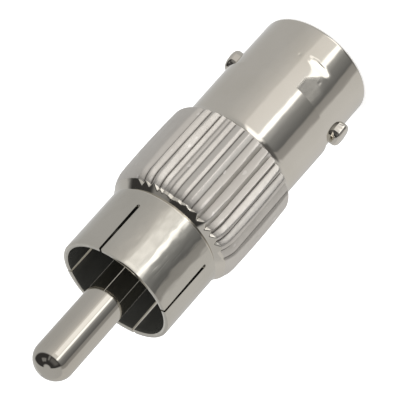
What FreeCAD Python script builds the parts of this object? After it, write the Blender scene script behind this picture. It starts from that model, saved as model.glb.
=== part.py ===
import FreeCAD, Part
import math
import os

# Coaxial adapter: a female bayonet jack at the bottom, a male phono plug at the top.
# Millimetres. +Z runs along the axis towards the phono plug's pin, the origin is the centre of the
# jack's open end, and +X points through one of the two bayonet lugs.

# Play between pieces that are pressed or dropped into each other, on the radius
seat_gap = 0.02

# Bayonet barrel
barrel_bore_d = 8.12
barrel_bore_depth = 8.4
barrel_mouth_chamfer = 0.2
barrel_wall = 0.74
barrel_edge = 0.3
barrel_step_height = 0.17
barrel_step_run = 0.14
barrel_rear_length = 5.66
barrel_rear_draft = 0.05
barrel_fillet_run = 1.1
barrel_fillet_rise = 0.18

# Bayonet lugs
lug_d = 1.93
lug_z = 4.0
lug_stand = 0.685
lug_edge = 0.4
lug_inset = 0.06
lug_to_step = 0.535

# Fluted grip
grip_length = 7.95
grip_end_rise = 0.65
grip_crown = 0.06
grip_jack_chamfer = 0.48
grip_plug_round_run = 1.35
grip_plug_round_drop = 0.36
grip_plug_round_bulge = 0.07
flute_count = 40
flute_depth = 0.24
flute_angle_deg = 116
flute_root_round = 0.04
flute_dive_run = 1.35
flute_dive_past = 0.45
flute_dive_rise = 0.1
flute_dive_slope_deg = 20
flute_clock_deg = 4.5

# Conical neck between the grip and the plug's sleeve
neck_length = 0.8
neck_cone_length = 0.59
neck_wall = 0.15

# Plug's ground sleeve
jack_clearance_d = 8.4
spigot_wall = 0.25
finger_relief = 0.25
sleeve_wall = 0.42
sleeve_length = 5.82
sleeve_squeeze = 0.04
sleeve_edge = 0.07
slot_count = 4
slot_root_distance = 1.1
slot_root_width = 0.28
slot_mouth_width = 0.2
slot_clock_deg = 26.5

# Jack's female contact
contact_bore_d = 1.35
contact_bore_depth = 5.5
contact_wall = 0.425
contact_recess = 0.15
contact_mouth_chamfer = 0.15
contact_slit_width = 0.25
contact_slit_length = 4.5
tine_count = 4
first_slit_deg = 45
contact_web = 1.65
contact_tail_wall = 0.3
contact_collar_ledge = 0.75
contact_collar_length = 1.8

# Jack's insulator, and the web of the body that it stands behind
tube_wall = 1.23
tube_setback = 3.2
tube_edge = 0.15
tube_shoulder = 0.63
web_thickness = 0.8
insulator_ledge = 0.4
insulator_seat_length = 4.8

# Plug's insulator
flange_thickness = 2.0
hub_height = 2.9

# Centre pin of the plug
pin_root_d = 3.8
pin_step = 0.26
pin_overhang = 8.65
pin_nose = 1.5
pin_shoulder_depth = 2.4
pin_shoulder = 0.7
pin_tail_space = 0.2

# Diameters that follow from the sizes above
barrel_d = barrel_bore_d + 2 * barrel_wall
barrel_rear_d = barrel_d + 2 * barrel_step_height
barrel_waist_d = barrel_rear_d - 2 * barrel_rear_draft
grip_end_d = barrel_waist_d + 2 * grip_end_rise
grip_d = grip_end_d + 2 * grip_crown
grip_tip_d = grip_end_d - 2 * grip_plug_round_drop
spigot_d = jack_clearance_d + 2 * spigot_wall
spigot_bore_d = spigot_d + 2 * seat_gap
neck_end_d = spigot_bore_d + 2 * neck_wall
finger_inner_d = jack_clearance_d + 2 * finger_relief
sleeve_d = finger_inner_d + 2 * sleeve_wall
sleeve_mouth_d = sleeve_d - 2 * sleeve_squeeze
contact_d = contact_bore_d + 2 * contact_wall
contact_collar_d = contact_d + 2 * contact_collar_ledge
tail_bore_d = contact_d - 2 * contact_tail_wall
pin_tail_d = tail_bore_d - 2 * seat_gap
pin_stem_d = pin_root_d - 2 * pin_shoulder
pin_d = pin_root_d - 2 * pin_step
tube_bore_d = contact_d + 2 * seat_gap
tube_d = tube_bore_d + 2 * tube_wall
web_bore_d = tube_d + 2 * tube_shoulder
insulator_seat_d = web_bore_d + 2 * insulator_ledge

# Places along the axis that follow from the sizes above
barrel_step_z = lug_z + lug_d / 2 + lug_to_step
barrel_rear_z = barrel_step_z + barrel_step_run
grip_z = barrel_rear_z + barrel_rear_length
grip_end_z = grip_z + grip_length
neck_end_z = grip_end_z + neck_length
sleeve_mouth_z = neck_end_z + sleeve_length
web_end_z = barrel_bore_depth + web_thickness
seat_end_z = web_end_z + insulator_seat_length
flange_end_z = seat_end_z + flange_thickness
hub_top_z = flange_end_z + hub_height
contact_front_z = tube_setback + contact_recess
contact_bore_end_z = contact_front_z + contact_bore_depth
tail_bore_end_z = contact_bore_end_z + contact_web
collar_z = seat_end_z - contact_collar_length
pin_shoulder_z = hub_top_z - pin_shoulder_depth
pin_tip_z = sleeve_mouth_z + pin_overhang

# Share of a circle's radius that lies outside its chord of a quarter turn
quarter_sag = 1 - math.sqrt(0.5)

# Pull of a Bezier curve's handles that makes it a quarter of an ellipse
quarter_pull = 0.5523

axis_up = FreeCAD.Vector(0, 0, 1)
world_origin = FreeCAD.Vector(0, 0, 0)


def at(diameter, z):
    """Point of a half section, in the XZ plane."""
    return FreeCAD.Vector(diameter / 2, 0, z)


def straight(*points):
    return [Part.makeLine(a, b) for a, b in zip(points, points[1:])]


def arc(start, middle, end):
    return [Part.Arc(start, middle, end).toShape()]


def turned(edges):
    """Solid turned about the axis from the edges of a closed half section, in order."""
    return Part.Face(Part.Wire(edges)).revolve(world_origin, axis_up, 360)


def turned_from_points(*points):
    return turned(straight(*points, points[0]))


def around_axis(shape, count, start_deg=0.0):
    copies = []
    for index in range(count):
        copy = shape.copy()
        copy.rotate(world_origin, axis_up, start_deg + 360 * index / count)
        copies.append(copy)
    return Part.makeCompound(copies)


# Body: barrel, grip and neck turned from one bar, bored from both ends

def barrel_outline():
    """From the edge of the open end up to the foot of the grip."""
    edge_foot = at(barrel_d - 2 * barrel_edge, 0)
    edge_middle = at(barrel_d - 2 * barrel_edge * quarter_sag, barrel_edge * quarter_sag)
    edge_top = at(barrel_d, barrel_edge)
    fillet_foot = at(barrel_waist_d, grip_z - barrel_fillet_run)
    fillet_top = at(barrel_waist_d + 2 * barrel_fillet_rise, grip_z)
    fillet_middle = at(barrel_waist_d + barrel_fillet_rise / 2, grip_z - barrel_fillet_run / 2)
    return (
        arc(edge_foot, edge_middle, edge_top)
        + straight(edge_top, at(barrel_d, barrel_step_z), at(barrel_rear_d, barrel_rear_z), fillet_foot)
        + arc(fillet_foot, fillet_middle, fillet_top)
    )


def grip_outline():
    """Chamfer at the jack's end, slightly crowned middle, rounded off towards the plug's end."""
    foot = at(barrel_waist_d + 2 * barrel_fillet_rise, grip_z)
    chamfer_top = at(grip_end_d, grip_z + grip_jack_chamfer)
    round_foot = at(grip_end_d, grip_end_z - grip_plug_round_run)
    crown = at(grip_d, (chamfer_top.z + round_foot.z) / 2)
    tip = at(grip_tip_d, grip_end_z)
    round_middle = (round_foot + tip) / 2 + at(2 * grip_plug_round_bulge, 0)
    return (
        straight(foot, chamfer_top)
        + arc(chamfer_top, crown, round_foot)
        + arc(round_foot, round_middle, tip)
    )


def inner_outline():
    """From the end of the grip over the neck, then down through the bores to the open end."""
    return straight(
        at(grip_tip_d, grip_end_z),
        at(neck_end_d, grip_end_z + neck_cone_length),
        at(neck_end_d, neck_end_z),
        at(spigot_bore_d, neck_end_z),
        at(spigot_bore_d, seat_end_z),
        at(insulator_seat_d, seat_end_z),
        at(insulator_seat_d, web_end_z),
        at(web_bore_d, web_end_z),
        at(web_bore_d, barrel_bore_depth),
        at(barrel_bore_d, barrel_bore_depth),
        at(barrel_bore_d, barrel_mouth_chamfer),
        at(barrel_bore_d + 2 * barrel_mouth_chamfer, 0),
        at(barrel_d - 2 * barrel_edge, 0),
    )


def groove(start, end, angle_deg, root_round, reach):
    """V groove whose rounded root runs from start to end in the XZ plane, open away from the axis."""
    half_angle = math.radians(angle_deg / 2)
    along = end - start
    outward = FreeCAD.Vector(along.z, 0, -along.x).normalize()
    sideways = FreeCAD.Vector(0, 1, 0)
    tangent_rise = root_round * (1 - math.sin(half_angle))
    tangent_half = root_round * math.cos(half_angle)
    open_half = tangent_half + (reach - tangent_rise) * math.tan(half_angle)
    left = start + outward * tangent_rise - sideways * tangent_half
    right = start + outward * tangent_rise + sideways * tangent_half
    far_left = start + outward * reach - sideways * open_half
    far_right = start + outward * reach + sideways * open_half
    wire = Part.Wire(arc(left, start, right) + straight(right, far_right, far_left, left))
    return Part.Face(wire).extrude(along)


def flute():
    """Groove along the whole grip, and a second one that dives below its rounded end."""
    root_d = grip_d - 2 * flute_depth
    reach = 2 * flute_depth
    long_groove = groove(
        at(root_d, grip_z - flute_depth), at(root_d, grip_end_z), flute_angle_deg, flute_root_round, reach)
    dive_length = flute_dive_run + flute_dive_past
    dive_depth = dive_length * math.tan(math.radians(flute_dive_slope_deg))
    dive_start = at(root_d + 2 * flute_dive_rise, grip_end_z - flute_dive_run)
    dive_end = dive_start + at(-2 * dive_depth, dive_length)
    dive = groove(dive_start, dive_end, flute_angle_deg, flute_root_round, reach)
    return long_groove.fuse(dive)


def lug_hole():
    start = FreeCAD.Vector(-barrel_d, 0, lug_z)
    return Part.makeCylinder(lug_d / 2, 2 * barrel_d, start, FreeCAD.Vector(1, 0, 0))


def adapter_body():
    body = turned(barrel_outline() + grip_outline() + inner_outline())
    flutes = around_axis(flute(), flute_count, flute_clock_deg)
    return body.cut(flutes).cut(lug_hole())


# Bayonet lugs: round pins pressed through the barrel's wall, with rounded ends

def bayonet_lug(angle_deg):
    """Half section along +X, turned about the lug's own axis."""
    inner = barrel_bore_d / 2 + lug_inset
    outer = barrel_d / 2 + lug_stand
    lug_r = lug_d / 2
    side_end = FreeCAD.Vector(outer - lug_edge, 0, lug_r)
    edge_middle = FreeCAD.Vector(outer - lug_edge * quarter_sag, 0, lug_r - lug_edge * quarter_sag)
    face_start = FreeCAD.Vector(outer, 0, lug_r - lug_edge)
    inner_centre = FreeCAD.Vector(inner, 0, 0)
    outer_centre = FreeCAD.Vector(outer, 0, 0)
    section = Part.Wire(
        straight(outer_centre, inner_centre, FreeCAD.Vector(inner, 0, lug_r), side_end)
        + arc(side_end, edge_middle, face_start)
        + straight(face_start, outer_centre)
    )
    lug = Part.Face(section).revolve(world_origin, FreeCAD.Vector(1, 0, 0), 360)
    lug.translate(at(0, lug_z))
    lug.rotate(world_origin, axis_up, angle_deg)
    return lug


# Ground sleeve: turned tube with a thinner spigot below it, slit into four fingers

def slot():
    """Slot with a round root that narrows towards the mouth, where the fingers are squeezed in."""
    inside = jack_clearance_d / 2 - sleeve_wall
    outside = sleeve_d / 2 + sleeve_wall
    root_half = slot_root_width / 2
    mouth_half = slot_mouth_width / 2
    root_z = neck_end_z + slot_root_distance
    root = FreeCAD.Vector(inside, 0, root_z)
    left = FreeCAD.Vector(inside, -root_half, root_z + root_half)
    right = FreeCAD.Vector(inside, root_half, root_z + root_half)
    mouth_left = FreeCAD.Vector(inside, -mouth_half, sleeve_mouth_z)
    mouth_right = FreeCAD.Vector(inside, mouth_half, sleeve_mouth_z)
    wire = Part.Wire(arc(left, root, right) + straight(right, mouth_right, mouth_left, left))
    return Part.Face(wire).extrude(FreeCAD.Vector(outside - inside, 0, 0))


def ground_sleeve():
    mouth_inner_d = sleeve_mouth_d - 2 * sleeve_wall
    relief_z = neck_end_z + sleeve_wall
    sleeve = turned_from_points(
        at(spigot_d, flange_end_z),
        at(spigot_d, neck_end_z),
        at(sleeve_d - 2 * sleeve_edge, neck_end_z),
        at(sleeve_d, neck_end_z + sleeve_edge),
        at(sleeve_mouth_d, sleeve_mouth_z - sleeve_edge),
        at(sleeve_mouth_d - 2 * sleeve_edge, sleeve_mouth_z),
        at(mouth_inner_d + 2 * sleeve_edge, sleeve_mouth_z),
        at(mouth_inner_d, sleeve_mouth_z - sleeve_edge),
        at(finger_inner_d, relief_z + finger_relief),
        at(jack_clearance_d, relief_z),
        at(jack_clearance_d, flange_end_z),
    )
    return sleeve.cut(around_axis(slot(), slot_count, slot_clock_deg))


# Plug's insulator: flange trapped under the sleeve's spigot, hub filling the spigot

def rear_insulator():
    flange_d = spigot_bore_d - 2 * seat_gap
    hub_d = jack_clearance_d - 2 * seat_gap
    stem_hole_d = pin_stem_d + 2 * seat_gap
    pin_hole_d = pin_root_d + 2 * seat_gap
    return turned_from_points(
        at(stem_hole_d, seat_end_z),
        at(flange_d, seat_end_z),
        at(flange_d, flange_end_z),
        at(hub_d, flange_end_z),
        at(hub_d, hub_top_z),
        at(pin_hole_d, hub_top_z),
        at(pin_hole_d, pin_shoulder_z),
        at(stem_hole_d, pin_shoulder_z),
    )


# Centre pin: shouldered in the plug's insulator, with a tail pressed into the jack's contact

def centre_pin():
    nose_z = pin_tip_z - pin_nose
    tail_z = tail_bore_end_z + pin_tail_space
    nose = Part.BezierCurve()
    nose.setPoles([
        at(pin_d, nose_z),
        at(pin_d, nose_z + quarter_pull * pin_nose),
        at(quarter_pull * pin_d, pin_tip_z),
        at(0, pin_tip_z),
    ])
    sides = straight(
        at(0, pin_tip_z),
        at(0, tail_z),
        at(pin_tail_d, tail_z),
        at(pin_tail_d, seat_end_z),
        at(pin_stem_d, seat_end_z),
        at(pin_stem_d, pin_shoulder_z),
        at(pin_root_d, pin_shoulder_z),
        at(pin_root_d, hub_top_z),
        at(pin_d, hub_top_z),
        at(pin_d, nose_z),
    )
    return turned(sides + [nose.toShape()])


# Jack's contact: collar trapped between the two insulators, front split into four tines

def contact_slit():
    """From the axis outwards through one side of the tube, open at the front."""
    corner = FreeCAD.Vector(0, -contact_slit_width / 2, contact_front_z)
    return Part.makeBox(contact_d, contact_slit_width, contact_slit_length, corner)


def socket_contact():
    contact = turned_from_points(
        at(contact_bore_d + 2 * contact_mouth_chamfer, contact_front_z),
        at(contact_d, contact_front_z),
        at(contact_d, collar_z),
        at(contact_collar_d, collar_z),
        at(contact_collar_d, seat_end_z),
        at(tail_bore_d, seat_end_z),
        at(tail_bore_d, tail_bore_end_z),
        at(0, tail_bore_end_z),
        at(0, contact_bore_end_z),
        at(contact_bore_d, contact_bore_end_z),
        at(contact_bore_d, contact_front_z + contact_mouth_chamfer),
    )
    return contact.cut(around_axis(contact_slit(), tine_count, first_slit_deg))


# Jack's insulator: flange behind the body's web, slim tube reaching into the barrel

def front_insulator():
    web_d = web_bore_d - 2 * seat_gap
    flange_d = insulator_seat_d - 2 * seat_gap
    collar_hole_d = contact_collar_d + 2 * seat_gap
    return turned_from_points(
        at(tube_bore_d, tube_setback),
        at(tube_d - 2 * tube_edge, tube_setback),
        at(tube_d, tube_setback + tube_edge),
        at(tube_d, barrel_bore_depth),
        at(web_d, barrel_bore_depth),
        at(web_d, web_end_z),
        at(flange_d, web_end_z),
        at(flange_d, seat_end_z),
        at(collar_hole_d, seat_end_z),
        at(collar_hole_d, collar_z),
        at(tube_bore_d, collar_z),
    )


pieces = {
    "adapter_body": adapter_body(),
    "bayonet_lug_right": bayonet_lug(0),
    "bayonet_lug_left": bayonet_lug(180),
    "ground_sleeve": ground_sleeve(),
    "centre_pin": centre_pin(),
    "rear_insulator": rear_insulator(),
    "socket_contact": socket_contact(),
    "front_insulator": front_insulator(),
}

os.makedirs("parts", exist_ok=True)
for name, shape in pieces.items():
    shape.exportStep("parts/" + name + ".step")
    state = "valid" if shape.isValid() else "not valid"
    print(name, state, len(shape.Solids), "solid", round(shape.Volume, 3))
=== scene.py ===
import math
import bmesh
import bpy
import numpy as np
from mathutils import Matrix, Vector


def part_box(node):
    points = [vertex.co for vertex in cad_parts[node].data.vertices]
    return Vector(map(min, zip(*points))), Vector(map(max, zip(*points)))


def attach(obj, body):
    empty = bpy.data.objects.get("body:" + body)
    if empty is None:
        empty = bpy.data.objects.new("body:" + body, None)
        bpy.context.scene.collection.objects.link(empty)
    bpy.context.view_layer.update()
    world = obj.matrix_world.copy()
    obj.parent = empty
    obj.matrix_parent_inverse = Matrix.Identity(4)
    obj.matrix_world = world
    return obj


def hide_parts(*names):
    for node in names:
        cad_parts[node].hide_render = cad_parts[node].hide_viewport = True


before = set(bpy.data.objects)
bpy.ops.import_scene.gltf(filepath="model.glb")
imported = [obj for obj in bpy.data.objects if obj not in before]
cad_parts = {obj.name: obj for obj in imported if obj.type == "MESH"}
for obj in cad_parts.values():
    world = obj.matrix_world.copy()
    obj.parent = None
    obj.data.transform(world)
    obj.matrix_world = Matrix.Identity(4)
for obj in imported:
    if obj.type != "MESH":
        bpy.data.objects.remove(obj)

# Coaxial adapter standing on its bayonet jack, seen as the photograph shows it.
# Sizes in the dictionaries are millimetres, angles are degrees, objects are metres.
mm = 0.001
axisUp = Vector((0, 0, 1))
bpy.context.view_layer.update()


def heights(name):
    low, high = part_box(name)
    return low.z / mm, high.z / mm


def widest(name):
    low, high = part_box(name)
    return (high.x - low.x) / 2 / mm


bodyTop = heights("adapter_body")[1]
sleeveFoot, sleeveMouth = heights("ground_sleeve")
pinFoot, pinTip = heights("centre_pin")
sleeveRadius = widest("ground_sleeve")


# Camera: long lens, turned so that the adapter's axis runs down to the left

photoCamera = {
    "azimuth": 77.0,
    "elevation": 26.55,
    "axisInPicture": 131.45,  # from the picture's right, clockwise
    "distance": 153.85,
    "focalPixels": 2036.5,
    "picturePixels": 400,
    "sensorWidth": 36.0,
    "lookAtHeight": 16.0,
    "shiftRight": 0.381,
    "shiftDown": -0.057,
    "nearest": 10.0,
    "farthest": 20000.0,
}


def makeCamera(c):
    azimuth = math.radians(c["azimuth"])
    elevation = math.radians(c["elevation"])
    tilt = math.radians(c["axisInPicture"])
    towards = Vector((math.cos(azimuth), math.sin(azimuth), 0))
    sideways = Vector((math.sin(azimuth), -math.cos(azimuth), 0))
    back = math.sin(elevation) * axisUp + math.cos(elevation) * towards
    upright = math.cos(elevation) * axisUp - math.sin(elevation) * towards
    right = math.cos(tilt) * upright + math.sin(tilt) * sideways
    down = math.sin(tilt) * upright - math.cos(tilt) * sideways
    place = c["lookAtHeight"] * axisUp + c["shiftRight"] * right + c["shiftDown"] * down
    place += c["distance"] * back
    data = bpy.data.cameras.new("photoCamera")
    data.sensor_width = c["sensorWidth"]
    data.lens = c["focalPixels"] / c["picturePixels"] * c["sensorWidth"]
    data.clip_start = c["nearest"] * mm
    data.clip_end = c["farthest"] * mm
    camera = bpy.data.objects.new("photoCamera", data)
    bpy.context.scene.collection.objects.link(camera)
    turn = Matrix((right, -down, back)).transposed().to_4x4()
    camera.matrix_world = Matrix.Translation(place * mm) @ turn
    bpy.context.scene.camera = camera


makeCamera(photoCamera)
print("camera placed")


# Small tools for node trees

def node(tree, kind, place=(0, 0), **settings):
    made = tree.nodes.new(kind)
    made.location = place
    for name, value in settings.items():
        if name in made.inputs:
            made.inputs[name].default_value = value
        else:
            setattr(made, name, value)
    return made


def link(tree, output, target):
    tree.links.new(output, target)


def feed(tree, value, target):
    # A number or a colour is set on the socket, another node's output is linked to it
    if isinstance(value, (int, float, tuple)):
        target.default_value = value
    else:
        link(tree, value, target)


def maths(tree, operation, first, second=None, third=None, clamp=False):
    made = node(tree, "ShaderNodeMath", operation=operation, use_clamp=clamp)
    for value, target in zip((first, second, third), made.inputs):
        if value is not None:
            feed(tree, value, target)
    return made.outputs[0]


def mixColour(tree, factor, first, second):
    made = node(tree, "ShaderNodeMix", data_type="RGBA")
    for label, value in (("Factor", factor), ("A", first), ("B", second)):
        feed(tree, value, next(s for s in made.inputs if s.name == label and s.enabled))
    return next(s for s in made.outputs if s.enabled)


def smoothStep(tree, value, start, end):
    made = node(tree, "ShaderNodeMapRange", interpolation_type="SMOOTHSTEP")
    made.inputs["From Min"].default_value = start
    made.inputs["From Max"].default_value = end
    link(tree, value, made.inputs["Value"])
    return made.outputs["Result"]


def grey(level, warmth=0.0):
    return (level * (1 + warmth), level, level * (1 - warmth), 1)


# Studio: soft room that the plating mirrors. Angles run left from the camera's side, seen from above.

room = {
    "strips": [  # angle, level and warmth: upright strips of the room, from the left round to the right
        (180.0, 0.72, 0.00),
        (160.0, 0.66, 0.00),
        (144.0, 0.57, 0.00),
        (120.0, 0.53, 0.01),
        (70.0, 0.545, 0.01),
        (45.0, 0.61, 0.02),
        (28.0, 0.70, 0.03),
        (24.0, 0.88, 0.03),
        (4.0, 0.93, 0.03),
        (-5.5, 0.95, 0.02),
        (-8.0, 2.00, 0.01),
        (-14.0, 1.90, 0.01),
        (-18.5, 0.57, 0.00),
        (-30.0, 0.29, 0.00),
        (-48.0, 0.175, 0.00),
        (-52.0, 0.16, 0.00),
        (-56.0, 0.34, 0.03),
        (-70.0, 0.38, 0.03),
        (-76.0, 0.66, 0.02),
        (-110.0, 0.69, 0.02),
        (-128.0, 0.67, 0.02),
        (-144.0, 0.64, 0.02),
        (-160.0, 0.58, 0.02),
        (-180.0, 0.52, 0.00),
    ],
    "brightest": 2.0,  # the colour ramp holds the levels divided by this, because it stops at 1
    "stripsTop": 24.0,
    "stripsFade": 6.0,
    "ceiling": 0.56,
    "tableStart": -44.0,
    "tableEnd": -58.0,
    "table": 0.53,
    "warmth": 0.01,  # of the ceiling and the table
    "cardWarmth": 0.02,
    "plain": 0.62,
}

cards = [  # what stands round the camera: centre and half size across and up, edge, level
    {"across": 0.0, "up": -66.0, "halfAcross": 24.0, "halfUp": 20.0, "edge": 8.0, "level": 1.7},
    {"across": 7.0, "up": -13.5, "halfAcross": 11.0, "halfUp": 11.0, "edge": 3.5, "level": 1.4},
    {"across": -56.0, "up": -62.0, "halfAcross": 26.0, "halfUp": 18.0, "edge": 7.0, "level": 0.12},
    {"across": 44.0, "up": 47.0, "halfAcross": 96.0, "halfUp": 27.0, "edge": 4.5, "level": 0.045},
    {"across": 67.0, "up": 52.0, "halfAcross": 19.0, "halfUp": 8.0, "edge": 4.0, "level": 0.27},
    {"across": 30.0, "up": 36.0, "halfAcross": 6.0, "halfUp": 13.0, "edge": 4.0, "level": 0.26},
    {"across": -8.0, "up": 38.0, "halfAcross": 26.0, "halfUp": 12.0, "edge": 9.0, "level": 0.16},
]


def bandShare(tree, place, centre, half, edge):
    # 1 within a band of the room, falling softly to 0 outside it
    away = maths(tree, "ABSOLUTE", maths(tree, "SUBTRACT", place, centre))
    return smoothStep(tree, maths(tree, "MULTIPLY", away, -1), -half - edge, -half + edge)


def makeRoom(r):
    world = bpy.data.worlds.new("softRoom")
    bpy.context.scene.world = world
    world.use_nodes = True
    tree = world.node_tree
    tree.nodes.clear()
    coordinates = node(tree, "ShaderNodeTexCoord", (-1600, 0))
    turned = node(tree, "ShaderNodeVectorRotate", (-1400, 0), rotation_type="Z_AXIS")
    turned.inputs["Angle"].default_value = -math.radians(photoCamera["azimuth"])
    link(tree, coordinates.outputs["Generated"], turned.inputs["Vector"])
    split = node(tree, "ShaderNodeSeparateXYZ", (-1200, 0))
    link(tree, turned.outputs["Vector"], split.inputs[0])
    heading = maths(tree, "ARCTAN2", split.outputs["Y"], split.outputs["X"])
    across = maths(tree, "MULTIPLY", heading, math.degrees(1))
    rise = maths(tree, "ARCSINE", split.outputs["Z"])
    up = maths(tree, "MULTIPLY", rise, math.degrees(1))

    # The ramp runs from half a turn to the left to half a turn to the right
    along = maths(tree, "MULTIPLY_ADD", across, -1 / 360, 0.5)
    ramp = node(tree, "ShaderNodeValToRGB", (-400, 200))
    link(tree, along, ramp.inputs["Fac"])
    stops = ramp.color_ramp.elements
    for index, (angle, level, warmth) in enumerate(r["strips"]):
        position = 0.5 - angle / 360
        stop = stops[index] if index < 2 else stops.new(position)  # a new ramp has two stops
        stop.position = position
        stop.color = grey(level / r["brightest"], warmth)
    strips = node(tree, "ShaderNodeVectorMath", (-100, 200), operation="SCALE", Scale=r["brightest"])
    link(tree, ramp.outputs["Color"], strips.inputs[0])

    overStrips = smoothStep(tree, up, r["stripsTop"] - r["stripsFade"], r["stripsTop"] + r["stripsFade"])
    colour = mixColour(tree, overStrips, strips.outputs[0], grey(r["ceiling"], r["warmth"]))
    underStrips = smoothStep(tree, maths(tree, "MULTIPLY", up, -1), -r["tableStart"], -r["tableEnd"])
    colour = mixColour(tree, underStrips, colour, grey(r["table"], r["warmth"]))
    for card in cards:
        insideAcross = bandShare(tree, across, card["across"], card["halfAcross"], card["edge"])
        insideUp = bandShare(tree, up, card["up"], card["halfUp"], card["edge"])
        inside = maths(tree, "MULTIPLY", insideAcross, insideUp)
        colour = mixColour(tree, inside, colour, grey(card["level"], r["cardWarmth"]))

    # The camera sees a white backdrop, metal and glass see the room's strips, the rest gets plain light
    ray = node(tree, "ShaderNodeLightPath", (200, 300))
    backdropColour = mixColour(tree, ray.outputs["Is Camera Ray"], colour, grey(1.0))
    seen = maths(tree, "ADD", ray.outputs["Is Camera Ray"], ray.outputs["Is Glossy Ray"])
    seen = maths(tree, "ADD", seen, ray.outputs["Is Transmission Ray"], clamp=True)
    plainLight = node(tree, "ShaderNodeBackground", (400, 100), Color=grey(r["plain"]), Strength=1.0)
    backdrop = node(tree, "ShaderNodeBackground", (400, -100), Strength=1.0)
    chooser = node(tree, "ShaderNodeMixShader", (600, 0))
    output = node(tree, "ShaderNodeOutputWorld", (800, 0))
    link(tree, backdropColour, backdrop.inputs["Color"])
    link(tree, seen, chooser.inputs["Fac"])
    link(tree, plainLight.outputs[0], chooser.inputs[1])
    link(tree, backdrop.outputs[0], chooser.inputs[2])
    link(tree, chooser.outputs[0], output.inputs["Surface"])


makeRoom(room)

lamps = [
    {"name": "overheadBox", "place": (-60, 30, 260), "size": 260, "power": 0.42},
    {"name": "sideBox", "place": (220, 200, 120), "size": 180, "power": 0.12},
]
lampAim = (0, 0, 10)


def makeLamps():
    for lamp in lamps:
        data = bpy.data.lights.new(lamp["name"], "AREA")
        data.shape = "DISK"
        data.size = lamp["size"] * mm
        data.energy = lamp["power"]
        light = bpy.data.objects.new(lamp["name"], data)
        bpy.context.scene.collection.objects.link(light)
        light.location = Vector(lamp["place"]) * mm
        aim = Vector(lampAim) * mm - light.location
        light.rotation_euler = aim.to_track_quat("-Z", "Y").to_euler()
        light.visible_glossy = False


makeLamps()

floorSheet = {"size": 4000.0, "drop": 0.01, "colour": 0.9, "glow": 0.5}


def makeFloor(f):
    half = f["size"] / 2 * mm
    corners = [(-half, -half, 0), (half, -half, 0), (half, half, 0), (-half, half, 0)]
    mesh = bpy.data.meshes.new("floorSheet")
    mesh.from_pydata(corners, [], [(0, 1, 2, 3)])
    floor = bpy.data.objects.new("floorSheet", mesh)
    bpy.context.scene.collection.objects.link(floor)
    floor.location.z = -f["drop"] * mm
    floor.visible_glossy = False
    material = bpy.data.materials.new("floorPaper")
    material.use_nodes = True
    tree = material.node_tree
    tree.nodes.clear()
    paper = node(tree, "ShaderNodeBsdfDiffuse", (0, 0), Color=grey(f["colour"]))
    glow = node(tree, "ShaderNodeEmission", (0, -150), Color=grey(1.0))
    seen = node(tree, "ShaderNodeLightPath", (-400, -150))
    link(tree, maths(tree, "MULTIPLY", seen.outputs["Is Camera Ray"], f["glow"]), glow.inputs["Strength"])
    both = node(tree, "ShaderNodeAddShader", (200, 0))
    output = node(tree, "ShaderNodeOutputMaterial", (400, 0))
    link(tree, paper.outputs[0], both.inputs[0])
    link(tree, glow.outputs[0], both.inputs[1])
    link(tree, both.outputs[0], output.inputs["Surface"])
    mesh.materials.append(material)


makeFloor(floorSheet)
print("studio built")


# Shared surface effects, as node groups

def newGroup(name, inputs):
    # Empty group with these inputs, which puts out a colour, a roughness and a height
    tree = bpy.data.node_groups.new(name, "ShaderNodeTree")
    for label, value in inputs.items():
        kind = "NodeSocketColor" if isinstance(value, tuple) else "NodeSocketFloat"
        socket = tree.interface.new_socket(label, in_out="INPUT", socket_type=kind)
        socket.default_value = value
    tree.interface.new_socket("Color", in_out="OUTPUT", socket_type="NodeSocketColor")
    tree.interface.new_socket("Roughness", in_out="OUTPUT", socket_type="NodeSocketFloat")
    tree.interface.new_socket("Height", in_out="OUTPUT", socket_type="NodeSocketFloat")
    return tree, node(tree, "NodeGroupInput", (-1000, 0)), node(tree, "NodeGroupOutput", (600, 0))


def stretched(tree, source, factors):
    made = node(tree, "ShaderNodeVectorMath", operation="MULTIPLY")
    made.inputs[1].default_value = factors
    link(tree, source, made.inputs[0])
    return made.outputs[0]


noiseRoughness = 0.55


def noise(tree, vector, scale, detail):
    made = node(tree, "ShaderNodeTexNoise", Scale=scale, Detail=detail, Roughness=noiseRoughness)
    link(tree, vector, made.inputs["Vector"])
    return made.outputs["Fac"]


plating = {  # a noise has its scale and detail, edges are where a mark starts and where it is full
    "clouds": (260.0, 4.0), "cloudEdges": (0.42, 0.72), "cloudShare": 0.6,
    "grain": (2600.0, 5.0), "grainShare": 0.5, "glossEdges": (0.35, 0.68), "recessGloss": 0.4,
    "rings": (14000.0, 2.0), "ringStretch": (0.03, 0.03, 1.0),
    "ripple": (1250.0, 1.0), "rippleStretch": (1.0, 1.0, 0.45),
    "pitScale": 1500.0, "pitEdges": (-0.10, -0.03), "pitColour": grey(0.2, 0.1), "pitShare": 0.6,
    "pitPatches": (420.0, 1.0), "pitPatchEdges": (0.60, 0.66),
    "scratches": (5200.0, 2.0), "scratchStretch": (1.0, 1.0, 0.04), "scratchEdges": (0.60, 0.68),
    "scratchColour": grey(0.35, 0.05), "scratchShare": 0.3,
    "wear": (330.0, 2.0), "wearEdges": (0.48, 0.62),
    # Nicks: small worn specks, painted near white as glints
    "nicks": (1900.0, 1.0), "nickStretch": (1.0, 1.0, 0.5), "nickEdges": (0.70, 0.73),
    # The recess colour at the end of the next line is painted shade for grooves, creases and recesses
    "nickGlintColour": grey(0.92, 0.03), "recessShadeColour": grey(0.075, 0.12),
}


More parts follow.
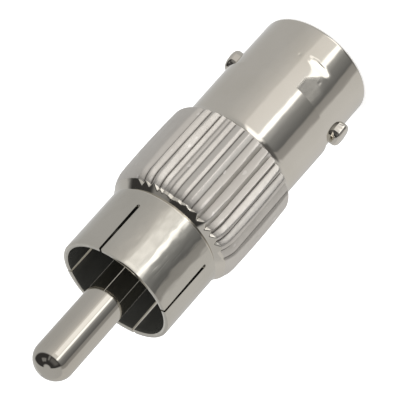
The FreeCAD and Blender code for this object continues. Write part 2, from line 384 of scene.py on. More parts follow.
def makePlatingGroup(p):
    tree, given, result = newGroup("platedMetal", {
        "Tint": (0.7, 0.67, 0.6, 1), "Stain": (0.6, 0.57, 0.5, 1), "Gloss Low": 0.08, "Gloss High": 0.18,
        "Tool Marks": 0.5, "Ripple": 0.5, "Pits": 0.5, "Scratches": 0.3, "Recess Shade": 0.0, "Nick Glints": 0.0})
    place = node(tree, "ShaderNodeTexCoord", (-1200, -200)).outputs["Object"]
    recess = node(tree, "ShaderNodeAttribute", attribute_name="recess").outputs["Fac"]
    cloudy = noise(tree, place, *p["clouds"])

    cells = node(tree, "ShaderNodeTexVoronoi", Scale=p["pitScale"])
    link(tree, place, cells.inputs["Vector"])
    pit = smoothStep(tree, maths(tree, "MULTIPLY", cells.outputs["Distance"], -1), *p["pitEdges"])
    patches = smoothStep(tree, noise(tree, place, *p["pitPatches"]), *p["pitPatchEdges"])
    pits = maths(tree, "MULTIPLY", maths(tree, "MULTIPLY", pit, patches), given.outputs["Pits"])

    lines = noise(tree, stretched(tree, place, p["scratchStretch"]), *p["scratches"])
    worn = smoothStep(tree, noise(tree, place, *p["wear"]), *p["wearEdges"])
    scratch = maths(tree, "MULTIPLY", smoothStep(tree, lines, *p["scratchEdges"]), worn)
    scratch = maths(tree, "MULTIPLY", scratch, given.outputs["Scratches"])

    # Painted shade: the recess value darkens the colour in flute valleys, along pressed flats' creases and
    # along the grip's foot
    paintedShade = maths(tree, "MULTIPLY", recess, given.outputs["Recess Shade"])
    # Worn nicks with painted glints: lighter specks mixed into the colour
    nicks = noise(tree, stretched(tree, place, p["nickStretch"]), *p["nicks"])
    nickGlints = maths(tree, "MULTIPLY", smoothStep(tree, nicks, *p["nickEdges"]), given.outputs["Nick Glints"])

    blend = maths(tree, "MULTIPLY", smoothStep(tree, cloudy, *p["cloudEdges"]), p["cloudShare"])
    colour = mixColour(tree, blend, given.outputs["Tint"], given.outputs["Stain"])
    colour = mixColour(tree, maths(tree, "MULTIPLY", pits, p["pitShare"]), colour, p["pitColour"])
    colour = mixColour(tree, maths(tree, "MULTIPLY", scratch, p["scratchShare"]), colour, p["scratchColour"])
    colour = mixColour(tree, paintedShade, colour, p["recessShadeColour"])
    colour = mixColour(tree, nickGlints, colour, p["nickGlintColour"])

    spread = maths(tree, "SUBTRACT", given.outputs["Gloss High"], given.outputs["Gloss Low"])
    grain = noise(tree, place, *p["grain"])
    patchy = maths(tree, "MULTIPLY", cloudy, 1 - p["grainShare"])
    patchy = smoothStep(tree, maths(tree, "MULTIPLY_ADD", grain, p["grainShare"], patchy), *p["glossEdges"])
    gloss = maths(tree, "MULTIPLY_ADD", patchy, spread, given.outputs["Gloss Low"])
    gloss = maths(tree, "MULTIPLY_ADD", recess, p["recessGloss"], gloss)

    rings = noise(tree, stretched(tree, place, p["ringStretch"]), *p["rings"])
    ripple = noise(tree, stretched(tree, place, p["rippleStretch"]), *p["ripple"])
    height = maths(tree, "MULTIPLY", rings, given.outputs["Tool Marks"])
    height = maths(tree, "MULTIPLY_ADD", ripple, given.outputs["Ripple"], height)
    height = maths(tree, "SUBTRACT", maths(tree, "SUBTRACT", height, pits), scratch)
    link(tree, colour, result.inputs["Color"])
    link(tree, gloss, result.inputs["Roughness"])
    link(tree, height, result.inputs["Height"])
    return tree


moulding = {
    "clouds": (500.0, 3.0), "cloudEdges": (0.4, 0.7), "grain": (6000.0, 2.0),
    "rings": (9000.0, 1.0), "ringStretch": (0.05, 0.05, 1.0),
}


def makeMouldedGroup(m):
    tree, given, result = newGroup("mouldedPlastic", {
        "Tint": (0.5, 0.5, 0.5, 1), "Shade": (0.4, 0.4, 0.4, 1), "Gloss Low": 0.35, "Gloss High": 0.55})
    place = node(tree, "ShaderNodeTexCoord", (-1200, -200)).outputs["Object"]
    cloudy = smoothStep(tree, noise(tree, place, *m["clouds"]), *m["cloudEdges"])
    grain = noise(tree, place, *m["grain"])
    rings = noise(tree, stretched(tree, place, m["ringStretch"]), *m["rings"])
    spread = maths(tree, "SUBTRACT", given.outputs["Gloss High"], given.outputs["Gloss Low"])
    gloss = maths(tree, "MULTIPLY_ADD", grain, spread, given.outputs["Gloss Low"])
    colour = mixColour(tree, cloudy, given.outputs["Tint"], given.outputs["Shade"])
    link(tree, colour, result.inputs["Color"])
    link(tree, gloss, result.inputs["Roughness"])
    link(tree, maths(tree, "ADD", grain, rings), result.inputs["Height"])
    return tree


platedGroup = makePlatingGroup(plating)
mouldedGroup = makeMouldedGroup(moulding)


def finish(name, group, metallic, bump, values):
    # Material that takes its colour, roughness and height from a group. The bump's depth is in millimetres
    material = bpy.data.materials.new(name)
    material.use_nodes = True
    tree = material.node_tree
    shader = tree.nodes["Principled BSDF"]
    shader.inputs["Metallic"].default_value = metallic
    effect = node(tree, "ShaderNodeGroup", (-500, 0), node_tree=group)
    for label, value in values.items():
        effect.inputs[label].default_value = value
    relief = node(tree, "ShaderNodeBump", (-250, -250), Strength=1.0, Distance=bump * mm)
    link(tree, effect.outputs["Color"], shader.inputs["Base Color"])
    link(tree, effect.outputs["Roughness"], shader.inputs["Roughness"])
    link(tree, effect.outputs["Height"], relief.inputs["Height"])
    link(tree, relief.outputs["Normal"], shader.inputs["Normal"])
    return material


# Recess strength sets how much painted shade the recess value puts on each plating
bodyNickel = finish("bodyNickel", platedGroup, metallic=1.0, bump=0.013, values={
    "Tint": (0.70, 0.67, 0.61, 1), "Stain": (0.66, 0.63, 0.56, 1), "Gloss Low": 0.05, "Gloss High": 0.10,
    "Tool Marks": 0.02, "Ripple": 0.7, "Pits": 0.1, "Scratches": 0.06, "Recess Shade": 0.35})
gripNickel = finish("gripNickel", platedGroup, metallic=1.0, bump=0.008, values={
    "Tint": (0.71, 0.684, 0.642, 1), "Stain": (0.672, 0.641, 0.6, 1), "Gloss Low": 0.32, "Gloss High": 0.46,
    "Tool Marks": 0.6, "Ripple": 0.4, "Pits": 0.3, "Scratches": 0.3, "Recess Shade": 0.9, "Nick Glints": 0.5})
sleeveNickel = finish("sleeveNickel", platedGroup, metallic=1.0, bump=0.03, values={
    "Tint": (0.61, 0.59, 0.535, 1), "Stain": (0.55, 0.53, 0.475, 1), "Gloss Low": 0.06, "Gloss High": 0.16,
    "Tool Marks": 0.01, "Ripple": 1.0, "Pits": 0.1, "Scratches": 0.07})
pinNickel = finish("pinNickel", platedGroup, metallic=1.0, bump=0.0012, values={
    "Tint": (0.60, 0.575, 0.52, 1), "Stain": (0.56, 0.53, 0.47, 1), "Gloss Low": 0.03, "Gloss High": 0.07,
    "Tool Marks": 0.1, "Ripple": 0.6, "Pits": 0.3})
# Painted shade: a dark finish for the sleeve's inside, which lies in shade
shadedBore = finish("shadedBore", platedGroup, metallic=0.5, bump=0.002, values={
    "Tint": (0.17, 0.17, 0.155, 1), "Stain": (0.13, 0.13, 0.12, 1), "Gloss Low": 0.14, "Gloss High": 0.24,
    "Tool Marks": 0.3, "Ripple": 0.5, "Pits": 0.2, "Scratches": 0.2})
contactGold = finish("contactGold", platedGroup, metallic=1.0, bump=0.002, values={
    "Tint": (0.86, 0.62, 0.28, 1), "Stain": (0.7, 0.48, 0.2, 1), "Gloss Low": 0.16, "Gloss High": 0.3,
    "Tool Marks": 0.4, "Ripple": 0.4, "Pits": 0.3})
whiteInsulator = finish("whiteInsulator", mouldedGroup, metallic=0.0, bump=0.004, values={
    "Tint": (0.82, 0.81, 0.77, 1), "Shade": (0.74, 0.72, 0.66, 1), "Gloss Low": 0.32, "Gloss High": 0.5})
blackInsulator = finish("blackInsulator", mouldedGroup, metallic=0.0, bump=0.004, values={
    "Tint": (0.018, 0.018, 0.019, 1), "Shade": (0.03, 0.03, 0.03, 1), "Gloss Low": 0.4, "Gloss High": 0.6})
print("finishes mixed")


# Turned outlines: lists of (radius, height), with held edges so that long runs shade straight

cornerReach = 0.4  # most of a side that a rounded corner may take
heldEdge = 0.25  # how far beyond a rounded corner the next point lies, as a share of its reach
roundBite = 1 - math.sqrt(0.5)  # how far the middle of a quarter round stays from both sides, for radius 1


def arcPoints(start, middle, end, count):
    # Points on the circle through three points
    ax, ay = start
    bx, by = middle
    cx, cy = end
    a, b, c = ax * ax + ay * ay, bx * bx + by * by, cx * cx + cy * cy
    d = 2 * (ax * (by - cy) + bx * (cy - ay) + cx * (ay - by))
    ux = (a * (by - cy) + b * (cy - ay) + c * (ay - by)) / d
    uy = (a * (cx - bx) + b * (ax - cx) + c * (bx - ax)) / d
    first = math.atan2(ay - uy, ax - ux)
    mid = math.atan2(by - uy, bx - ux)
    last = math.atan2(cy - uy, cx - ux)
    radius = math.hypot(ax - ux, ay - uy)
    turn = (last - first + math.pi) % (2 * math.pi) - math.pi
    if abs((mid - first + math.pi) % (2 * math.pi) - math.pi) > abs(turn):
        turn = turn - math.copysign(2 * math.pi, turn)
    angles = [first + turn * i / count for i in range(count + 1)]
    return [(ux + radius * math.cos(angle), uy + radius * math.sin(angle)) for angle in angles]


def rounded(points, radius, steps):
    # Open outline with each inner corner replaced by a small curve
    result = [points[0]]
    for before, corner, after in zip(points, points[1:], points[2:]):
        b, c, a = (np.array(p, float) for p in (before, corner, after))
        lengthIn, lengthOut = np.linalg.norm(b - c), np.linalg.norm(a - c)
        reach = min(radius, lengthIn * cornerReach, lengthOut * cornerReach)
        start, end = c + (b - c) / lengthIn * reach, c + (a - c) / lengthOut * reach
        result.append(tuple(start + (b - c) / lengthIn * reach * heldEdge))
        for i in range(steps + 1):
            t = i / steps
            result.append(tuple((1 - t) ** 2 * start + 2 * t * (1 - t) * c + t * t * end))
        result.append(tuple(end + (a - c) / lengthOut * reach * heldEdge))
    return result + [points[-1]]


def gridFaces(rows, columns, closedRows):
    # Quads between rows of points, each of which closes round the axis
    steps = np.arange(rows if closedRows else rows - 1)
    row, column = np.meshgrid(steps, np.arange(columns), indexing="ij")
    above, right = (row + 1) % rows, (column + 1) % columns
    lower, upper = row * columns, above * columns
    quads = np.stack([lower + column, lower + right, upper + right, upper + column], -1)
    return quads.reshape(-1, 4).tolist()


def meshPiece(name, points, faces, materials, sharpAngle, faceSlots=None):
    mesh = bpy.data.meshes.new(name)
    mesh.from_pydata((np.asarray(points) * mm).tolist(), [], faces)
    mesh.validate()
    mesh.update()
    for material in materials:
        mesh.materials.append(material)
    if faceSlots is not None:
        mesh.polygons.foreach_set("material_index", np.asarray(faceSlots, np.int32))
    mesh.shade_smooth()
    mesh.set_sharp_from_angle(angle=math.radians(sharpAngle))
    piece = bpy.data.objects.new(name, mesh)
    bpy.context.scene.collection.objects.link(piece)
    return piece


# Body: barrel, fluted grip and neck

barrel = {
    "boreRadius": 4.06, "mouthChamfer": 0.2, "radius": 4.8, "edge": 0.3, "edgeRows": 8,
    "rowsFoot": 2.3, "rowsTop": 5.55, "rowGap": 0.11,  # close rows, where flats are pressed in
    "step": 5.63, "stepHold": 0.01, "stepEdge": 0.015, "stepRise": 0.002,
    "rearRadius": 4.97, "waistRadius": 4.92, "rearFoot": 6.0, "rearHold": 0.1, "rearRows": 10,
    "filletRun": 0.7, "filletRise": 0.14, "filletRows": 10,
}
# Flats pressed into the barrel: centre, span, depth, slope at the foot and fading at the top, softness of the
# edges to the left and to the right, roughness and painted shade along the left edge and over the whole flat
pressedFlats = [
    {"azimuth": 72.5, "foot": 2.6, "top": 2.95, "depth": 0.13, "footSlope": 1.0, "fade": 0.3,
     "softLeft": 0.03, "softRight": 0.03, "edgeDullShade": 0.0, "flatDullShade": 0.0},
    {"azimuth": 65.5, "foot": 4.4, "top": 5.7, "depth": 0.085, "footSlope": 0.1, "fade": 1.0,
     "softLeft": 0.004, "softRight": 0.04, "edgeDullShade": 0.9, "flatDullShade": 0.2},
]
flatReach = 1.2  # radians to each side that a flat's plane is followed
edgeWidth = 0.012  # of the rough line of painted shade along a flat's left edge
softTurn = 0.12  # radians over which one edge's softness passes into the other's
smallDents = [  # azimuth, height, radius and depth
    (62.6, 3.77, 0.10, 0.02), (94.0, 3.0, 0.12, 0.03),
]
grip = {
    "foot": 11.3, "end": 19.25, "shoulderRadius": 5.57, "crown": 0.06, "crownRows": 12,
    "jackChamfer": 0.28, "chamferRound": 0.1, "chamferSteps": 6, "crownLean": (0.01, 1.2),
    "roundRun": 1.15, "roundDrop": 0.36, "roundBulge": 0.085, "roundRows": 20,
    "flutes": 40, "depth": 0.25, "flankRise": 0.63, "rootWidth": 0.02, "fluteStart": 0.05,
    "crestLimits": (0.05, 0.95), "columnsPerFlute": 16,
    # Painted shade along the valleys and its width, and a painted shadow line where the grip meets the barrel
    "paintedShade": 0.9, "shadeWidth": 0.06, "endShade": 0.3, "footLine": 0.7, "footLineReach": 0.03,
    "finishStart": 0.02, "finishEnd": 0.01, "sharpAngle": 36.0,
}
# Flutes on the camera's side: azimuth, depth, painted valley shade, rise of the left and the right flank. The
# rest are even
seenFlutes = [
    (17.0, 0.8, 0.9, 0.63, 0.63), (26.0, 1.35, 1.0, 1.2, 0.25), (37.1, 1.4, 1.0, 1.1, 0.66),
    (46.9, 1.35, 1.0, 1.0, 0.66), (54.4, 1.3, 0.3, 0.75, 0.72), (64.7, 1.35, 0.4, 0.9, 0.60),
    (75.0, 0.84, 0.9, 0.20, 0.36), (84.2, 1.08, 1.0, 0.12, 0.36), (92.8, 1.4, 0.8, 0.20, 0.24),
    (98.2, 1.15, 0.5, 0.11, 0.19), (102.7, 1.29, 0.25, 0.47, 0.50), (108.0, 1.35, 0.9, 0.66, 0.90),
    (117.3, 1.3, 1.0, 0.66, 1.0), (125.5, 1.35, 1.0, 0.63, 1.0),
]
wornFlutes = {"spans": [(130.0, 174.0), (345.0, 372.0)], "depth": 0.1, "paintedShade": 0.0}
neck = {
    "coneStart": 0.03, "coneEnd": 19.84, "coneRows": 10, "radius": 4.62, "boreRadius": 4.47, "boreFloor": 14.0,
}
web = {"chamberRadius": 3.38, "top": 9.2, "holeRadius": 2.98, "foot": 8.4}


def barrelOutline():
    b = barrel
    edge = arcPoints((b["radius"] - b["edge"], 0),
                     (b["radius"] - b["edge"] * roundBite, b["edge"] * roundBite),
                     (b["radius"], b["edge"]), b["edgeRows"])
    closeRows = np.arange(b["rowsFoot"], b["rowsTop"], b["rowGap"])
    front = [(b["radius"], h) for h in np.append(closeRows, b["step"] - b["stepHold"])]
    e = b["stepEdge"]
    step = [(b["radius"], b["step"]), (b["rearRadius"] - e, b["step"] + b["stepRise"]),
            (b["rearRadius"], b["step"] + e), (b["rearRadius"], b["step"] + 4 * e)]
    waistFoot = grip["foot"] - b["filletRun"]
    drop = (b["rearRadius"] - b["waistRadius"]) / (waistFoot - b["step"])
    rearRows = np.linspace(b["rearFoot"], waistFoot - b["rearHold"], b["rearRows"])
    rear = [(b["rearRadius"] - drop * (h - b["step"]), h) for h in rearRows]
    fillet = arcPoints((b["waistRadius"], waistFoot),
                       (b["waistRadius"] + b["filletRise"] / 4, grip["foot"] - b["filletRun"] / 2),
                       (b["waistRadius"] + b["filletRise"], grip["foot"]), b["filletRows"])
    return edge + front + step + rear + fillet


def gripOutline(foot):
    g = grip
    chamferTop = (g["shoulderRadius"], g["foot"] + g["jackChamfer"])
    leanRise, leanRun = g["crownLean"]
    crownLean = (g["shoulderRadius"] + leanRise, g["foot"] + leanRun)
    chamfer = rounded([foot, chamferTop, crownLean], g["chamferRound"], g["chamferSteps"])[1:-1]
    roundFoot = (g["shoulderRadius"], g["end"] - g["roundRun"])
    crownTop = (g["shoulderRadius"] + g["crown"], (chamferTop[1] + roundFoot[1]) / 2)
    crown = arcPoints(chamferTop, crownTop, roundFoot, g["crownRows"])[2:]
    tip = (g["shoulderRadius"] - g["roundDrop"], g["end"])
    roundMiddle = ((roundFoot[0] + tip[0]) / 2 + g["roundBulge"], (roundFoot[1] + tip[1]) / 2)
    rounding = arcPoints(roundFoot, roundMiddle, tip, g["roundRows"])[1:]
    return chamfer + crown + rounding


def insideOutline():
    # From the neck's rim down to the jack's mouth
    b = barrel
    points = [(neck["boreRadius"], bodyTop), (neck["boreRadius"], neck["boreFloor"])]
    points += [(web["chamberRadius"], neck["boreFloor"]), (web["chamberRadius"], web["top"])]
    points += [(web["holeRadius"], web["top"]), (web["holeRadius"], web["foot"])]
    points += [(b["boreRadius"], web["foot"]), (b["boreRadius"], b["mouthChamfer"])]
    return points + [(b["boreRadius"] + b["mouthChamfer"], 0)]


def outsideOutline():
    outside = barrelOutline()
    outside += gripOutline(outside[-1])
    radius, height = outside[-1]
    outside += [(radius + (neck["radius"] - radius) * t, height + (neck["coneEnd"] - height) * t)
                for t in np.linspace(neck["coneStart"], 1, neck["coneRows"])]
    return outside + [(neck["radius"], bodyTop)]


def softMin(first, second, soft):
    # Smaller of two radii, with a soft change from one to the other
    gap = second - first
    return first + 0.5 * (gap - np.sqrt(gap * gap + soft * soft))


def fluteTable():
    # One row for every flute, from the first seen one round the far side and back to it
    far = grip["flutes"] - len(seenFlutes)
    last, first = seenFlutes[-1][0], seenFlutes[0][0] + 360
    table = list(seenFlutes)
    for index in range(1, far + 1):
        azimuth = last + (first - last) * index / (far + 1)
        worn = any(low < azimuth < high for low, high in wornFlutes["spans"])
        depth, paintedShade = (wornFlutes["depth"], wornFlutes["paintedShade"]) if worn else (1.0, grip["paintedShade"])
        table.append((azimuth, depth, paintedShade, grip["flankRise"], grip["flankRise"]))
    table.append((first,) + seenFlutes[0][1:])
    return np.array(table)


def crestShare(before, after):
    # Where the crest between two flutes stands, as a share of the way from one to the other
    azimuthBefore, depthBefore, _, riseBefore, _ = before
    azimuthAfter, depthAfter, _, _, riseAfter = after
    apart = math.radians(azimuthAfter - azimuthBefore) * grip["shoulderRadius"]
    deepBefore, deepAfter = depthBefore * grip["depth"], depthAfter * grip["depth"]
    meeting = (riseAfter * apart + deepBefore - deepAfter) / (riseBefore + riseAfter)
    if riseBefore * meeting > deepBefore:
        meeting = (deepBefore / riseBefore + apart - deepAfter / riseAfter) / 2
    low, high = grip["crestLimits"]
    return min(max(meeting / apart, low), high)


def spreadColumns(table):
    # Angle of every column and its flutes on both sides. Half of a flute's columns run up to its crest
    per = grip["columnsPerFlute"]
    column = np.arange(grip["flutes"] * per)
    marks = []
    for start, end in zip(table, table[1:]):
        marks += [start[0], start[0] + crestShare(start, end) * (end[0] - start[0])]
    marks.append(table[-1][0])
    angles = np.radians(np.interp(column / (per / 2), np.arange(len(marks)), marks))
    return angles, table[column // per].T, table[column // per + 1].T


def fluteCut(across, depth, rise, rim):
    # Radius that one flank leaves in a row, from each point's distance to its flute
    lift = np.hypot(across, grip["rootWidth"]) - grip["rootWidth"]
    return rim - grip["depth"] * depth + lift * rise


def cutFlutes(radius, height, angles, before, after):
    # Radii of one row of the grip, and the painted shade along its valleys
    g = grip
    azimuthBefore, depthBefore, shadeBefore, riseBefore, _ = before
    azimuthAfter, depthAfter, shadeAfter, _, riseAfter = after
    pastBefore = radius * (angles - np.radians(azimuthBefore))
    tillAfter = radius * (np.radians(azimuthAfter) - angles)
    rim = g["shoulderRadius"]
    if height > g["end"] - g["roundRun"]:
        rim = max(radius, g["shoulderRadius"] - g["roundDrop"])
    radii = np.full(len(angles), float(radius))
    radii = np.minimum(radii, fluteCut(pastBefore, depthBefore, riseBefore, rim + g["crown"]))
    radii = np.minimum(radii, fluteCut(tillAfter, depthAfter, riseAfter, rim + g["crown"]))
    # Painted shade along each flute's valley, weaker on the jack end's chamfer and none past the grip's end
    shade = np.maximum(np.exp(-(pastBefore / g["shadeWidth"]) ** 2) * shadeBefore,
                       np.exp(-(tillAfter / g["shadeWidth"]) ** 2) * shadeAfter)
    if height <= g["foot"] + g["jackChamfer"]:
        shade *= g["endShade"]
    elif height >= g["end"]:
        shade *= 0
    return radii, shade


def pressFlats(angles, radii, height):
    around = (angles + math.pi) % (2 * math.pi) - math.pi
    shade = np.zeros(len(angles))
    for spot in pressedFlats:
        below = max(spot["foot"] - height, 0) * spot["footSlope"]
        depth = spot["depth"] * math.exp(-max(height - spot["top"], 0) / spot["fade"])
        turn = around - math.radians(spot["azimuth"])
        flat = (barrel["radius"] - depth) / np.cos(np.clip(turn, -flatReach, flatReach)) + below
        # The left edge and the whole flat get rougher and darker: the darkening is painted shade
        edge = spot["edgeDullShade"] * np.exp(-((radii - flat) / edgeWidth) ** 2) * (turn > 0)
        shade = np.maximum(shade, np.maximum(edge, spot["flatDullShade"] * (flat < radii)))
        soft = np.interp(turn, (-softTurn, softTurn), (spot["softRight"], spot["softLeft"]))
        radii = softMin(radii, flat, soft)
    for azimuth, centre, size, depth in smallDents:
        away = np.hypot(barrel["radius"] * (around - math.radians(azimuth)), height - centre)
        radii = radii - depth * np.exp(-(away / size) ** 2)
    return radii, shade


def makeBody():
    b, g = barrel, grip
    outside, inside = outsideOutline(), insideOutline()
    angles, before, after = spreadColumns(fluteTable())
    columns = len(angles)
    rings, recess = [], []
    for index, (radius, height) in enumerate(outside + inside):
        radii, shade = np.full(columns, float(radius)), np.zeros(columns)
        if index < len(outside):
            if height > g["foot"] + g["fluteStart"]:
                radii, shade = cutFlutes(radius, height, angles, before, after)
            elif abs(height - g["foot"]) < g["footLineReach"]:
                # Painted shadow line where the grip meets the barrel
                shade += g["footLine"]
            elif b["rowsFoot"] <= height <= b["step"]:
                radii, shade = pressFlats(angles, radii, height)
        rings.append(np.stack([radii * np.cos(angles), radii * np.sin(angles), np.full(columns, height)], -1))
        recess.append(shade)
    faces = gridFaces(len(rings), columns, True)
    row = np.array(faces)[:, 0] // columns
    rowHeights = np.array([h for _, h in outside + inside])[row]
    onGrip = (rowHeights > g["foot"] + g["finishStart"]) & (rowHeights < g["end"] - g["finishEnd"])
    onGrip &= row < len(outside) - 1
    piece = meshPiece("plated_body", np.concatenate(rings), faces, [bodyNickel, gripNickel],
                      g["sharpAngle"], onGrip)
    attribute = piece.data.attributes.new("recess", "FLOAT", "POINT")
    attribute.data.foreach_set("value", np.concatenate(recess).astype(np.float32))
    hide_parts("adapter_body")
    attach(piece, "root")


makeBody()
print("body turned and fluted")


# Plug's sleeve: thin tube with a spigot, slit into four sprung fingers

sleeve = {
    "spigotRadius": 4.45, "boreRadius": 4.2, "shoulder": 20.05, "wall": 0.42, "squeeze": 0.04, "relief": 0.25,
    "edge": 0.07, "shoulderEdge": 0.012, "shoulderHold": 0.05, "edgeBite": 0.3,
    "slots": [(27.7, 0.88), (112.6, 1.14), (205.7, 1.1), (298.0, 1.1)],  # azimuth, distance to the shoulder
    "rootHalf": 0.14, "mouthHalf": 0.1, "rootRows": 7, "fingerRows": 14, "columnsPerFinger": 48,
    "darkBelowMouth": 0.105, "facingIn": 0.5, "weld": 0.0005, "sharpAngle": 35.0,
}


def slotHalfWidth(height, distance):
    s = sleeve
    root = s["shoulder"] + distance
    if height <= root:
        return 0.0
    if height < root + s["rootHalf"]:
        return math.sqrt(s["rootHalf"] ** 2 - (s["rootHalf"] - (height - root)) ** 2)
    share = (height - root - s["rootHalf"]) / (sleeveMouth - root - s["rootHalf"])
    return s["rootHalf"] + (s["mouthHalf"] - s["rootHalf"]) * share


def fingerHeights():
    # Heights of the rows: close round the slots' round roots, then even up to the mouth
    s = sleeve
    quarter = np.linspace(0, math.pi / 2, s["rootRows"])
    found = set()
    for _, distance in s["slots"]:
        root = s["shoulder"] + distance
        found.update(round(root + s["rootHalf"] * (1 - math.cos(t)), 4) for t in quarter)
    straight = np.linspace(max(found), sleeveMouth - s["edge"], s["fingerRows"])
    found.update(round(h, 4) for h in straight)
    return sorted(found)


def sleeveOutline():
    # Closed outline, and the first outside row and last inside row of the fingers
    s = sleeve
    mouthRadius = sleeveRadius - s["squeeze"]
    innerMouth = mouthRadius - s["wall"]
    e, bite = s["shoulderEdge"], s["edge"] * s["edgeBite"]
    wallTop = s["shoulder"] + s["wall"]

    def outer(height):
        share = (height - s["shoulder"] - s["edge"]) / (sleeveMouth - s["shoulder"] - 2 * s["edge"])
        return sleeveRadius - s["squeeze"] * share

    def inner(height):
        if height < wallTop + s["relief"]:
            return s["boreRadius"] + max(0.0, height - wallTop)
        return outer(height) - s["wall"]

    upper = fingerHeights()
    profile = [(s["spigotRadius"], sleeveFoot), (s["spigotRadius"], s["shoulder"])]
    profile += [(sleeveRadius - e, s["shoulder"]),
                (sleeveRadius - e * s["edgeBite"], s["shoulder"] + e * s["edgeBite"])]
    profile += [(sleeveRadius, s["shoulder"] + e), (sleeveRadius, s["shoulder"] + e + s["shoulderHold"])]
    firstOut = len(profile)
    profile += [(outer(h), h) for h in upper]
    profile += [(mouthRadius - bite, sleeveMouth - bite), (mouthRadius - s["edge"], sleeveMouth)]
    profile += [(innerMouth + s["edge"], sleeveMouth), (innerMouth + bite, sleeveMouth - bite)]
    profile += [(inner(h), h) for h in reversed(upper)]
    lastIn = len(profile) - 1
    profile += [(s["boreRadius"] + s["relief"], wallTop + s["relief"])]
    profile += [(s["boreRadius"], wallTop), (s["boreRadius"], sleeveFoot)]
    return profile, firstOut, lastIn


def joinDoubles(piece, distance, sharpAngle):
    work = bmesh.new()
    work.from_mesh(piece.data)
    bmesh.ops.remove_doubles(work, verts=work.verts, dist=distance * mm)
    bmesh.ops.recalc_face_normals(work, faces=work.faces)
    work.to_mesh(piece.data)
    work.free()
    piece.data.shade_smooth()
    piece.data.set_sharp_from_angle(angle=math.radians(sharpAngle))


def makeSleeve():
    s = sleeve
    profile, firstOut, lastIn = sleeveOutline()
    fingers, across = len(s["slots"]), s["columnsPerFinger"]
    points, ring = [], fingers * (across + 1)
    for radius, height in profile:
        halves = [math.asin(slotHalfWidth(height, distance) / radius) for _, distance in s["slots"]]
        for finger in range(fingers):
            following = (finger + 1) % fingers
            start = math.radians(s["slots"][finger][0]) + halves[finger]
            sweep = math.radians((s["slots"][following][0] - s["slots"][finger][0]) % 360)
            sweep -= halves[finger] + halves[following]
            for column in range(across + 1):
                angle = start + sweep * column / across
                points.append((radius * math.cos(angle), radius * math.sin(angle), height))
    faces = []
    for row in range(len(profile)):
        here, above = row * ring, (row + 1) % len(profile) * ring
        for finger in range(fingers):
            base = finger * (across + 1)
            for a in range(base, base + across):
                faces.append((here + a, here + a + 1, above + a + 1, above + a))
    # Side walls of the slots join each outside row to the inside row of the same height
    for outA in range(firstOut, (firstOut + lastIn) // 2):
        outB = outA + 1
        inA, inB = firstOut + lastIn - outA, firstOut + lastIn - outB
        for finger in range(fingers):
            left = finger * (across + 1)
            right = left + across
            if slotHalfWidth(profile[outB][1], s["slots"][finger][1]) > 0:
                faces.append(tuple(row * ring + left for row in (outA, outB, inB, inA)))
            if slotHalfWidth(profile[outB][1], s["slots"][(finger + 1) % fingers][1]) > 0:
                faces.append(tuple(row * ring + right for row in (outB, outA, inA, inB)))
    piece = meshPiece("plug_sleeve", points, faces, [sleeveNickel, shadedBore], s["sharpAngle"])
    joinDoubles(piece, s["weld"], s["sharpAngle"])
    # Inside faces below the mouth take the bore's painted-shade finish
    for face in piece.data.polygons:
        centre = face.center / mm
        outwards = face.normal.x * centre.x + face.normal.y * centre.y
        if outwards < -s["facingIn"] * centre.xy.length and centre.z < sleeveMouth - s["darkBelowMouth"]:
            face.material_index = 1
    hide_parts("ground_sleeve")
    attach(piece, "root")


makeSleeve()
print("sleeve slit")


# Centre pin and bayonet lugs

def latheRings(profile, columns):
    # Rings between the outline's two ends, which lie on the axis and close in fans
    angles = np.arange(columns) * 2 * math.pi / columns
    around = np.stack([np.cos(angles), np.sin(angles)], -1)
    rings = [np.column_stack([r * around, np.full(columns, h)]) for r, h in profile[1:-1]]
    ends = np.array([[0, 0, profile[0][1]], [0, 0, profile[-1][1]]])
    faces = gridFaces(len(rings), columns, False)
    total = len(rings) * columns
    for column in range(columns):
        following = (column + 1) % columns
        faces.append((total, following, column))
        faces.append((total + 1, total - columns + column, total - columns + following))
    return np.concatenate(rings + [ends]), faces


pin = {
    "tailRadius": 0.78, "tailTop": 14.0, "stemRadius": 1.2, "shoulder": 16.5,
    "rootRadius": 1.9, "rootTop": 18.9, "radius": 1.64, "nose": 1.5,
    "cornerRound": 0.03, "cornerSteps": 2, "noseRows": 28, "columns": 128, "sharpAngle": 50.0,
}


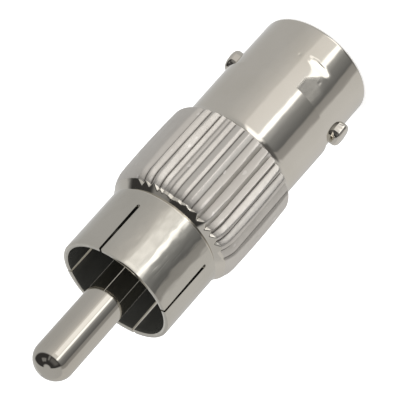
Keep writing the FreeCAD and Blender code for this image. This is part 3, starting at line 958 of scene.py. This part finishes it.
def makePin():
    p = pin
    noseFoot = pinTip - p["nose"]
    corners = [
        (p["tailRadius"], pinFoot), (p["tailRadius"], p["tailTop"]),
        (p["stemRadius"], p["tailTop"]), (p["stemRadius"], p["shoulder"]),
        (p["rootRadius"], p["shoulder"]), (p["rootRadius"], p["rootTop"]),
        (p["radius"], p["rootTop"]), (p["radius"], noseFoot),
    ]
    sides = rounded(corners, p["cornerRound"], p["cornerSteps"])
    nose = [(p["radius"] * math.cos(t), noseFoot + p["nose"] * math.sin(t))
            for t in np.linspace(0, math.pi / 2, p["noseRows"] + 1)[1:-1]]
    profile = [(0, pinFoot)] + sides + nose + [(0, pinTip)]
    points, faces = latheRings(profile, p["columns"])
    piece = meshPiece("plug_pin", points, faces, [pinNickel], p["sharpAngle"])
    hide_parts("centre_pin")
    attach(piece, "root")


lug = {
    "radius": 0.965, "inner": 4.12, "outer": 5.485, "height": 4.0, "edge": 0.4, "edgeRows": 10, "columns": 64,
    "sharpAngle": 50.0,
}


def makeLug(name, cadName, side):
    g = lug
    bite = g["edge"] * roundBite
    edge = arcPoints((g["radius"], g["outer"] - g["edge"]), (g["radius"] - bite, g["outer"] - bite),
                     (g["radius"] - g["edge"], g["outer"]), g["edgeRows"])
    profile = [(0, g["inner"]), (g["radius"], g["inner"])] + edge + [(0, g["outer"])]
    points, faces = latheRings(profile, g["columns"])
    placed = np.stack([side * points[:, 2], -side * points[:, 1], points[:, 0] + g["height"]], -1)
    piece = meshPiece(name, placed, faces, [bodyNickel], g["sharpAngle"])
    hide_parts(cadName)
    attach(piece, "root")


makePin()
makeLug("lug_right", "bayonet_lug_right", 1)
makeLug("lug_left", "bayonet_lug_left", -1)
print("pin and lugs turned")


# Insulators and contact keep their solids

def dressNode(name, material):
    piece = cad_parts[name]
    piece.data.materials.clear()
    piece.data.materials.append(material)


dressNode("rear_insulator", blackInsulator)
dressNode("front_insulator", whiteInsulator)
dressNode("socket_contact", contactGold)
print("insulators and contact dressed")

scene = bpy.context.scene
scene.view_settings.view_transform = "Standard"
